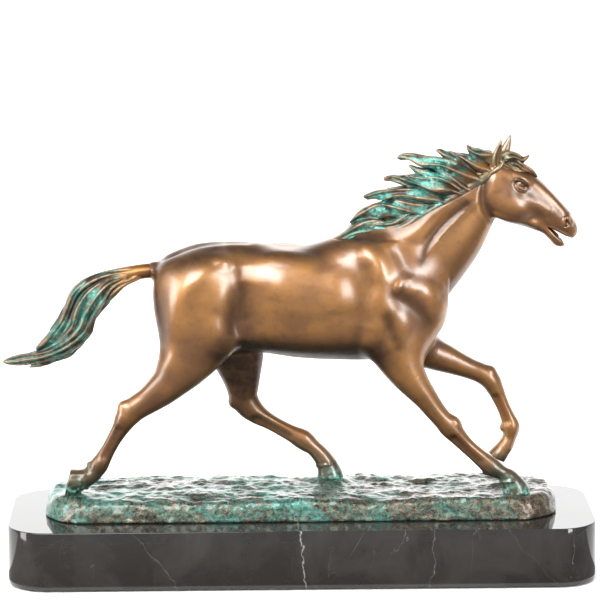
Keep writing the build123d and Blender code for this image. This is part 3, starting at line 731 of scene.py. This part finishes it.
def painted_shade(vertices):
    """How much shade is painted on the brown, from 0 to 1: along the strokes, in the creases, under the
    belly and inside the far legs.
    """
    out = np.zeros(len(vertices))
    for path, width, strength in SHADE_STROKES:
        out = np.maximum(out, strength * stroke(vertices, path, width))
    y = vertices[:, 1]
    # Painted shade on the inner faces of the far legs, below the belly.
    far = np.clip((y + 1) / 5, 0, 1) * np.clip((22 - y) / 6, 0, 1)
    far = far * np.interp(vertices[:, 2], [80, 125, 148, 160], [0.25, 0.9, 1, 0])
    return np.maximum(out, far * np.interp(vertices[:, 0], [-30, 20, 60], [1, 0.6, 0.3]))


def greenness(name, vertices):
    """How far the green patina has taken over the hair, full at 1, and how olive the ears are."""
    x, z = vertices[:, 0], vertices[:, 2]
    if name == "tail_casting":
        return np.interp(x, [-186, -172, -160, -135, -120, -108], [1.1, 0.9, 0.65, 0.55, 0.2, 0])
    if name == "mane_casting":
        above = z - np.interp(x, [22, 61, 80, 97, 126], [228, 239, 250, 260, 275])
        share = np.interp(x - 0.5 * (z - 250), [10, 25, 40, 70, 90, 105], [0.1, 0.5, 1, 1, 0.8, 0.35])
        return share * np.interp(above, [-2, 3, 8, 15], [0.8, 0.45, 0.4, 1])
    return np.full(len(vertices), {"forelock": 0.25, "right_ear": 0.7, "left_ear": 0.5}.get(name, 0))


def make_castings():
    made = {}
    for name, (sculpt, low, high, step, slot) in PIECES.items():
        clay = Clay(low, high, step)
        sculpt(clay)
        bend = curvature(clay.field, 2)
        if name == "body_casting":
            for joint, ((px, _), _, side) in JOINTS.items():
                near = ROOT_REACH - np.abs(clay.axes[0] - px) if side else np.inf
                trim(clay, np.minimum(past_joint(clay, joint), near))
        elif name in JOINTS:
            trim(clay, -past_joint(clay, name))
        vertices, quads = skin(clay)
        obj = smooth_object(name + "_bronze", vertices, quads)
        mark(obj, "bend", sample(bend, clay, vertices) / clay.step)
        mark(obj, "green", greenness(name, vertices))
        # Painted shade, read by the brown of the bronze and of the hair.
        mark(obj, "dark", painted_shade(vertices))
        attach(obj, "root")
        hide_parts(name)
        made[name] = obj
    return made


# ---------------- materials

def node(tree, kind, inputs, output=0, **settings):
    """An output of a new shader node with these settings, and with its inputs linked or set."""
    made = tree.nodes.new("ShaderNode" + kind)
    for key, value in settings.items():
        setattr(made, key, value)
    for socket, value in inputs.items():
        if isinstance(value, bpy.types.NodeSocket):
            tree.links.new(value, made.inputs[socket])
        else:
            made.inputs[socket].default_value = value
    return made.outputs[output]


class Shader:
    """A material under construction, with short calls for the nodes that these materials share."""

    def __init__(self, name, **fixed):
        self.material = bpy.data.materials.new(name)
        self.material.use_nodes = True
        self.tree = self.material.node_tree
        self.surface = self.tree.nodes["Principled BSDF"]
        self.place = self.node("TexCoord", {}, "Object")
        for socket, value in fixed.items():
            self.surface.inputs[socket.replace("_", " ")].default_value = value

    def node(self, kind, inputs, output=0, **settings):
        return node(self.tree, kind, inputs, output, **settings)

    def attribute(self, name):
        return self.node("Attribute", {}, "Fac", attribute_name=name)

    def by(self, name, *spans):
        """An attribute, scaled."""
        return self.scaled(self.attribute(name), *spans)

    def axis(self, name):
        return self.node("SeparateXYZ", {0: self.place}, name)

    def facing(self, name):
        """A component of the surface's normal."""
        return self.node("SeparateXYZ", {0: self.node("NewGeometry", {}, "Normal")}, name)

    def stretched(self, x, y, z):
        return self.node("VectorMath", {0: self.place, 1: (x, y, z)}, operation="MULTIPLY")

    def noise(self, size_mm, detail=3.0, rough=0.55, bend=0.0, place=None):
        """Noise whose features are about size_mm across."""
        inputs = {"Vector": place or self.place, "Scale": 1000 / size_mm, "Detail": detail}
        return self.node("TexNoise", {**inputs, "Roughness": rough, "Distortion": bend}, "Fac")

    def add(self, a, b, operation="ADD", clamp=False):
        return self.node("Math", {0: a, 1: b}, operation=operation, use_clamp=clamp)

    def times(self, a, b, clamp=False):
        return self.add(a, b, "MULTIPLY", clamp)

    def most(self, a, b):
        return self.add(a, b, "MAXIMUM")

    def absolute(self, a):
        return self.add(a, 0, "ABSOLUTE")

    def scaled(self, value, low, high, to_low=0.0, to_high=1.0):
        inputs = {"Value": value, "From Min": low, "From Max": high, "To Min": to_low, "To Max": to_high}
        return self.node("MapRange", inputs, clamp=True)

    def mix(self, share, a, b):
        """Colours, as sockets or as three numbers, mixed by share."""
        a, b = [value if isinstance(value, bpy.types.NodeSocket) else (*value, 1) for value in (a, b)]
        return self.node("Mix", {0: share, 6: a, 7: b}, 2, data_type="RGBA")

    def bump(self, height, depth_mm, strength=1.0, under=None):
        inputs = {"Height": height, "Strength": strength, "Distance": depth_mm / 1000}
        return self.node("Bump", inputs if under is None else {**inputs, "Normal": under})

    def finish(self, **linked):
        for socket, value in linked.items():
            self.tree.links.new(value, self.surface.inputs[socket.replace("_", " ")])
        return self.material


BROWN, GOLDEN, UMBER = (0.185, 0.07, 0.014), (0.35, 0.15, 0.024), (0.043, 0.019, 0.009)
OLIVE, EAR_GOLD, CREASE_SHADE = (0.055, 0.048, 0.022), (0.145, 0.112, 0.04), (0.012, 0.016, 0.012)
HAIR_BROWN, RIM_BROWN = (0.06, 0.042, 0.026), (0.27, 0.17, 0.1)
TEAL, TURQUOISE, PALE_GREEN = (0.022, 0.1, 0.078), (0.1, 0.44, 0.36), (0.34, 0.72, 0.62)
# On the ground plate, the marble and the felt.
PLATE_BROWN, PLATE_RUBBED, PLATE_HOLLOW = (0.043, 0.03, 0.02), (0.14, 0.1, 0.067), (0.016, 0.032, 0.026)
PLATE_TEAL, PLATE_TURQUOISE = (0.025, 0.155, 0.123), (0.078, 0.29, 0.24)
BLACK, CLOUD_GREY, VEIN_WHITE = (0.0135, 0.0123, 0.011), (0.03, 0.028, 0.026), (0.55, 0.54, 0.52)
FELT_DARK, FELT_LIGHT = (0.012, 0.014, 0.013), (0.05, 0.055, 0.052)


def waxed_brown(s):
    """Bare bronze, golden where rubbed and umber in hollows, with painted shade on faces turned down and
    along the shade strokes, and how much of that shade is painted.
    """
    rubbed = s.add(s.scaled(s.noise(34, 4, 0.5), 0.38, 0.66), s.by("bend", 0.0, 0.10, 0, 0.6), clamp=True)
    # Umber in the hollows is patina; umber on faces turned downwards is painted shade.
    hollow = s.most(s.by("bend", -0.07, -0.34, 0, 0.8), s.scaled(s.facing("Z"), -0.25, -0.85, 0, 0.85))
    colour = s.mix(hollow, s.mix(rubbed, BROWN, GOLDEN), UMBER)
    # Painted shade from the dark attribute, a little uneven.
    painted = s.times(s.attribute("dark"), s.scaled(s.noise(7, 4, 0.6), 0.35, 0.65, 0.85, 1.1), clamp=True)
    colour = s.mix(painted, colour, UMBER)
    return s.mix(s.scaled(s.noise(5, 5, 0.6), 0.52, 0.75, 0, 0.35), colour, UMBER), painted


def brown_bronze():
    """Warm brown patina under wax, with olive lower legs and turquoise where the hooves meet the plate."""
    s = Shader("brown_bronze", Coat_Roughness=0.28, Coat_IOR=1.9)
    # The colour carries painted shade; the coat is thinner where the shade is painted.
    colour, painted = waxed_brown(s)
    low = s.add(s.axis("Z"), s.scaled(s.noise(14, 3), 0.3, 0.7, -0.006, 0.006))
    green = s.times(s.scaled(low, 0.067, 0.057), s.scaled(s.noise(3.2, 5, 0.65), 0.46, 0.60))
    sink = s.times(s.by("bend", -0.04, -0.16, 0, 0.4), s.scaled(s.axis("Z"), 0.09, 0.066))
    colour = s.mix(s.attribute("green"), colour, EAR_GOLD)
    colour = s.mix(s.scaled(low, 0.088, 0.068, 0, 0.95), colour, OLIVE)
    colour = s.mix(s.add(green, sink, clamp=True), colour, TURQUOISE)
    streak = s.noise(3, 4, 0.6, place=s.stretched(0.35, 1, 1.4))
    rough = s.add(s.scaled(s.noise(22, 4, 0.6), 0.3, 0.7, 0.49, 0.61), s.scaled(streak, 0.5, 0.8, 0, 0.1))
    normal = s.bump(s.noise(1.1, 4, 0.65), 0.08, 0.6, under=s.bump(s.noise(13, 3, 0.55), 0.6, 0.35))
    return s.finish(Base_Color=colour, Roughness=s.add(rough, s.scaled(green, 0, 1, 0, 0.25)),
        Metallic=s.scaled(green, 0, 1, 0.95, 0.2), Coat_Weight=s.scaled(painted, 0, 1, 1, 0.3),
        Normal=normal)


def green_bronze():
    """Hair: brown rims and ridges, teal grooves, bright turquoise lying in the hollows and painted shade in
    the deepest creases.
    """
    s = Shader("green_bronze", Coat_Weight=0.3, Coat_Roughness=0.3, Coat_IOR=1.5)
    deep = s.mix(s.scaled(s.noise(11, 4), 0.44, 0.58), HAIR_BROWN, TEAL)
    patch = s.most(s.scaled(s.noise(15, 4, 0.6, 0.8), 0.46, 0.58), s.by("green", 1.0, 1.3))
    crust = s.scaled(s.noise(1.8, 6, 0.7), 0.34, 0.6)
    valley = s.most(s.by("bend", 0.10, -0.02, 0.2, 1), s.by("green", 1.0, 1.5))
    amount = s.times(s.times(s.times(patch, crust), s.attribute("green")), valley)
    # The brown of the hair carries the painted shade as well.
    colour = s.mix(s.by("green", 0.0, 0.5), waxed_brown(s)[0], deep)
    colour = s.mix(amount, colour, TURQUOISE)
    colour = s.mix(s.times(amount, s.scaled(s.noise(3.2, 5, 0.7), 0.52, 0.64)), colour, PALE_GREEN)
    # Painted shade in the deepest creases between the strands.
    colour = s.mix(s.by("bend", -0.10, -0.3, 0, 0.85), colour, CREASE_SHADE)
    rim = s.times(s.by("bend", 0.08, 0.24, 0, 0.8), s.scaled(s.noise(6, 3), 0.38, 0.55))
    colour = s.mix(s.times(rim, s.by("green", 1.0, 1.5, 1, 0.15)), colour, RIM_BROWN)
    normal = s.bump(s.noise(0.9, 4, 0.65), 0.1, 0.5, under=s.bump(crust, 0.1, 0.4))
    return s.finish(Base_Color=colour, Roughness=s.scaled(amount, 0, 1, 0.38, 0.6),
        Metallic=s.scaled(amount, 0, 1, 0.82, 0.08), Normal=normal)


def patinated_bronze():
    """Ground plate: turquoise crust over brown, browner towards the head, grainy all over."""
    s = Shader("patinated_bronze", Coat_Weight=0.55, Coat_Roughness=0.12, Coat_IOR=1.5)
    grain = s.noise(0.9, 5, 0.7)
    amount = s.add(s.noise(2.3, 6, 0.72, 0.5), s.scaled(s.noise(30, 5, 0.62, 0.6), 0.3, 0.7, -0.12, 0.12))
    amount = s.add(amount, s.scaled(grain, 0.3, 0.7, -0.07, 0.07))
    amount = s.add(amount, s.scaled(s.axis("X"), 0.02, 0.17, 0.01, -0.09))
    green = s.scaled(amount, 0.42, 0.64)
    brown = s.mix(s.scaled(s.noise(4, 4), 0.4, 0.6), PLATE_BROWN, PLATE_RUBBED)
    colour = s.mix(green, brown, PLATE_TEAL)
    colour = s.mix(s.scaled(amount, 0.57, 0.76), colour, PLATE_TURQUOISE)
    colour = s.mix(s.by("bend", -0.03, -0.2, 0, 0.85), colour, PLATE_HOLLOW)
    normal = s.bump(s.noise(3.6, 4, 0.6), 1.1, 0.7, under=s.bump(grain, 0.3, 0.7))
    return s.finish(Base_Color=colour, Roughness=s.scaled(green, 0, 1, 0.24, 0.42),
        Metallic=s.scaled(green, 0, 1, 0.8, 0.2), Normal=normal)


# Veins that cross the whole plinth: x in metres, lean, half width in metres, strength.
VEINS = [(-0.002, 0.13, 0.0005, 0.55), (0.089, -0.05, 0.0003, 0.28), (-0.116, 0.8, 0.0003, 0.14),
    (0.137, 0.9, 0.0003, 0.08)]


def black_marble():
    """Polished black marble with faint grey clouds and thin pale veins."""
    s = Shader("black_marble", IOR=1.52)
    cloud = s.scaled(s.noise(45, 6, 0.62, 0.8), 0.42, 0.78)
    web = s.noise(120, 4, 0.55, 1.6, place=s.stretched(1.6, 1.2, 0.5))
    thin = s.scaled(s.absolute(s.add(web, -0.5)), 0.0, 0.0018, 0.4, 0)
    veins = s.times(thin, s.scaled(s.noise(70, 3), 0.55, 0.68))
    wobble = s.scaled(s.noise(16, 5, 0.6), 0.2, 0.8, -0.005, 0.005)
    for place, lean, width, strength in VEINS:
        line = s.add(s.add(s.axis("X"), s.times(s.axis("Z"), lean)), s.add(wobble, -place))
        line = s.add(line, s.times(s.axis("Y"), lean * 0.7))
        veins = s.most(veins, s.scaled(s.absolute(line), 0.0, width, strength, 0))
    veins = s.times(veins, s.scaled(s.noise(2.5, 4, 0.7), 0.35, 0.65, 0.35, 1), clamp=True)
    rough = s.add(s.scaled(cloud, 0, 1, 0.05, 0.085), s.scaled(veins, 0, 1, 0, 0.08))
    colour = s.mix(veins, s.mix(cloud, BLACK, CLOUD_GREY), VEIN_WHITE)
    return s.finish(Base_Color=colour, Roughness=rough, Normal=s.bump(s.noise(0.8, 3), 0.006, 0.2))


def plain_metal(name, dark, light, low, high):
    """Turned or rolled stock: fine lines and slight tarnish."""
    s = Shader(name, Metallic=1.0)
    lines = s.noise(0.5, 3, 0.6, place=s.stretched(1, 1, 12))
    colour = s.mix(s.scaled(s.noise(4, 4), 0.35, 0.65), dark, light)
    rough = s.scaled(lines, 0.3, 0.7, low, high)
    return s.finish(Base_Color=colour, Roughness=rough, Normal=s.bump(lines, 0.02, 0.4))


def felt():
    """Dark grey felt."""
    s = Shader("felt", Roughness=0.95)
    fibre = s.noise(0.7, 5, 0.7, 1.2)
    colour = s.mix(s.scaled(fibre, 0.35, 0.65), FELT_DARK, FELT_LIGHT)
    return s.finish(Base_Color=colour, Normal=s.bump(fibre, 0.3, 0.9))


# ---------------- plinth and fixings

CORNER, BEVEL = 27, 0.6
COUNTERBORES, BORE_RADIUS, BORE_DEPTH = ((-110, 0), (110, 0)), 10, 22


def make_plinth():
    """The plinth as a smooth slab with small bevels and two counterbores from below."""
    (x0, y0, z0), (x1, y1, z1) = [[value * 1000 for value in corner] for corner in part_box("marble_plinth")]
    bm = bmesh.new()

    def ring(inset, z):
        points = []
        for quarter, (x, y) in enumerate(((x1, y1), (x0, y1), (x0, y0), (x1, y0))):
            x, y = x - math.copysign(CORNER, x), y - math.copysign(CORNER, y)
            for angle in np.radians(90 * quarter + np.linspace(0, 90, 21)):
                out = CORNER - inset
                points.append((x + out * math.cos(angle), y + out * math.sin(angle), z))
        return [bm.verts.new(point) for point in points]

    knee = 0.3 * BEVEL
    profile = [(BEVEL, z0), (knee, z0 + knee), (0, z0 + BEVEL),
        (0, z1 - BEVEL), (knee, z1 - knee), (BEVEL, z1)]
    rings = [ring(*step) for step in profile]
    walls = list(zip(rings[:-1], rings[1:]))
    holes = []
    for x, y in COUNTERBORES:
        circle = [(x + BORE_RADIUS * math.cos(a), y + BORE_RADIUS * math.sin(a))
            for a in np.linspace(0, -2 * math.pi, 49)[:-1]]
        mouth, end = [[bm.verts.new((*point, z)) for point in circle] for z in (z0, z0 + BORE_DEPTH)]
        holes.append(mouth)
        walls.append((mouth, end))
        bm.faces.new(end)
    for lower, upper in walls:
        for i in range(len(lower)):
            j = (i + 1) % len(lower)
            bm.faces.new((lower[i], lower[j], upper[j], upper[i]))
    bm.faces.new(rings[-1])
    loops = [rings[0][::-1]] + holes
    flat = [vertex for loop in loops for vertex in loop]
    for triangle in tessellate_polygon([[vertex.co for vertex in loop] for loop in loops]):
        bm.faces.new([flat[i] for i in triangle])
    bmesh.ops.recalc_face_normals(bm, faces=bm.faces)
    for face in bm.faces:
        face.smooth = len(face.verts) == 4
    for edge in bm.edges:
        edge.smooth = len(edge.link_faces) == 2 and edge.calc_face_angle(0) < math.radians(50)
    bmesh.ops.scale(bm, vec=(0.001, 0.001, 0.001), verts=bm.verts)
    mesh = bpy.data.meshes.new("marble_plinth_polished")
    bm.to_mesh(mesh)
    obj = put("marble_plinth_polished", mesh)
    mesh.materials.append(black_marble())
    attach(obj, "root")
    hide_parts("marble_plinth")


def finish_fixings():
    """Better materials for the CAD nodes that stay visible."""
    steel = plain_metal("steel", (0.42, 0.43, 0.44), (0.62, 0.62, 0.61), 0.22, 0.38)
    brass = plain_metal("brass", (0.50, 0.33, 0.10), (0.78, 0.57, 0.24), 0.2, 0.36)
    nodes = {"felt_pads": felt(), "plinth_bolts": steel, "plinth_washers": steel, "hoof_studs": brass,
             "hoof_nuts": steel, "hoof_washers": steel, "joint_dowels": brass}
    for name, material in nodes.items():
        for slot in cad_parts[name].material_slots:
            slot.material = material


# ---------------- camera, light, floor

# The camera as fitted to the photograph: metres, degrees, and millimetres for lens and sensor.
CAMERA_PLACE, PITCH_DOWN, TURN_RIGHT, ROLL = (-0.0377, -2.1038, 0.598), 11.02, 1.02, -0.25
LENS, SENSOR = 188.64, 36


def camera():
    data = bpy.data.cameras.new("camera")
    data.lens, data.sensor_width = LENS, SENSOR
    data.clip_start, data.clip_end = 0.1, 50
    obj = put("camera", data)
    turn = Matrix.Rotation(math.radians(-TURN_RIGHT), 4, "Z")
    pitch = Matrix.Rotation(math.radians(90 - PITCH_DOWN), 4, "X")
    roll = Matrix.Rotation(math.radians(ROLL), 4, "Z")
    obj.matrix_world = Matrix.Translation(CAMERA_PLACE) @ turn @ pitch @ roll
    bpy.context.scene.camera = obj


def sheet(name, centre, size, colour, roughness):
    """A flat sheet of the stage: centre and size in metres."""
    x, y, z = centre
    dx, dy = size[0] / 2, size[1] / 2
    mesh = bpy.data.meshes.new(name)
    corners = [(x - dx, y - dy, z), (x + dx, y - dy, z), (x + dx, y + dy, z), (x - dx, y + dy, z)]
    mesh.from_pydata(corners, [], [(0, 1, 2, 3)])
    mesh.materials.append(Shader(name, Base_Color=(*colour, 1), Roughness=roughness).material)
    obj = put(name, mesh)
    return obj


def floor():
    """A pale floor, and a dark card in front of the horse that only its reflections in the bronze show."""
    sheet("floor", (0, 0, 0), (24, 24), (0.9, 0.9, 0.9), 0.8)
    card = sheet("dark_card", (0, -1.17, 0.004), (4.0, 2.3), (0.12, 0.112, 0.105), 0.9)
    card.visible_camera = card.visible_diffuse = card.visible_shadow = False


# Brightness of the white tent, of its backdrop and of the room behind the camera.
TENT, BACKDROP, ROOM = 0.42, 3.2, 0.55


def studio_world():
    """A white tent with a bright backdrop, and a room behind the camera."""
    world = bpy.data.worlds.new("studio")
    bpy.context.scene.world = world
    world.use_nodes = True
    tree = world.node_tree
    direction = node(tree, "TexCoord", {}, "Generated")

    def smooth(axis, low, high):
        part = node(tree, "SeparateXYZ", {0: direction}, axis)
        inputs = {"Value": part, "From Min": low, "From Max": high}
        return node(tree, "MapRange", inputs, interpolation_type="SMOOTHSTEP")

    def multiply_add(a, b, c):
        return node(tree, "Math", {0: a, 1: b, 2: c}, operation="MULTIPLY_ADD")

    room = multiply_add(smooth("Y", -0.2, -0.7), smooth("Z", 0.62, 0.25), 0)
    back = multiply_add(smooth("Y", 0.3, 0.75), smooth("Z", 0.7, 0.3), 0)
    strength = multiply_add(back, BACKDROP - TENT, multiply_add(room, ROOM - TENT, TENT))
    tree.links.new(strength, tree.nodes["Background"].inputs["Strength"])
    tree.nodes["Background"].inputs["Color"].default_value = (1, 1, 1, 1)


# Softboxes: place, target, width and height in metres, watts. Reflections don't show the overhead one.
SOFTBOXES = {
    "key": ((-0.75, -1.4, 1.35), (0, 0, 0.17), (1.4, 1.1), 56),
    "side": ((-1.75, -0.6, 0.55), (0, 0, 0.17), (0.6, 1.2), 21),
    "fill": ((1.15, -1.4, 0.7), (0, 0, 0.17), (0.4, 1.1), 20),
    "overhead": ((0, 1.2, 3.2), (0, 1.2, 0), (4, 4), 150),
}


def lights():
    studio_world()
    for name, (place, target, size, power) in SOFTBOXES.items():
        data = bpy.data.lights.new(name, "AREA")
        data.shape, data.energy = "RECTANGLE", power
        data.size, data.size_y = size
        obj = put(name, data)
        obj.location = place
        obj.rotation_mode = "QUATERNION"
        obj.rotation_quaternion = (Vector(target) - Vector(place)).to_track_quat("-Z", "Y")
        obj.visible_glossy = name != "overhead"
    bpy.context.scene.view_settings.view_transform = "Standard"


camera()
floor()
lights()
finishes = {"bronze": brown_bronze(), "green_bronze": green_bronze(),
    "patinated_bronze": patinated_bronze()}
for name, piece in make_castings().items():
    piece.data.materials.append(finishes[PIECES[name][4]])
make_plinth()
finish_fixings()
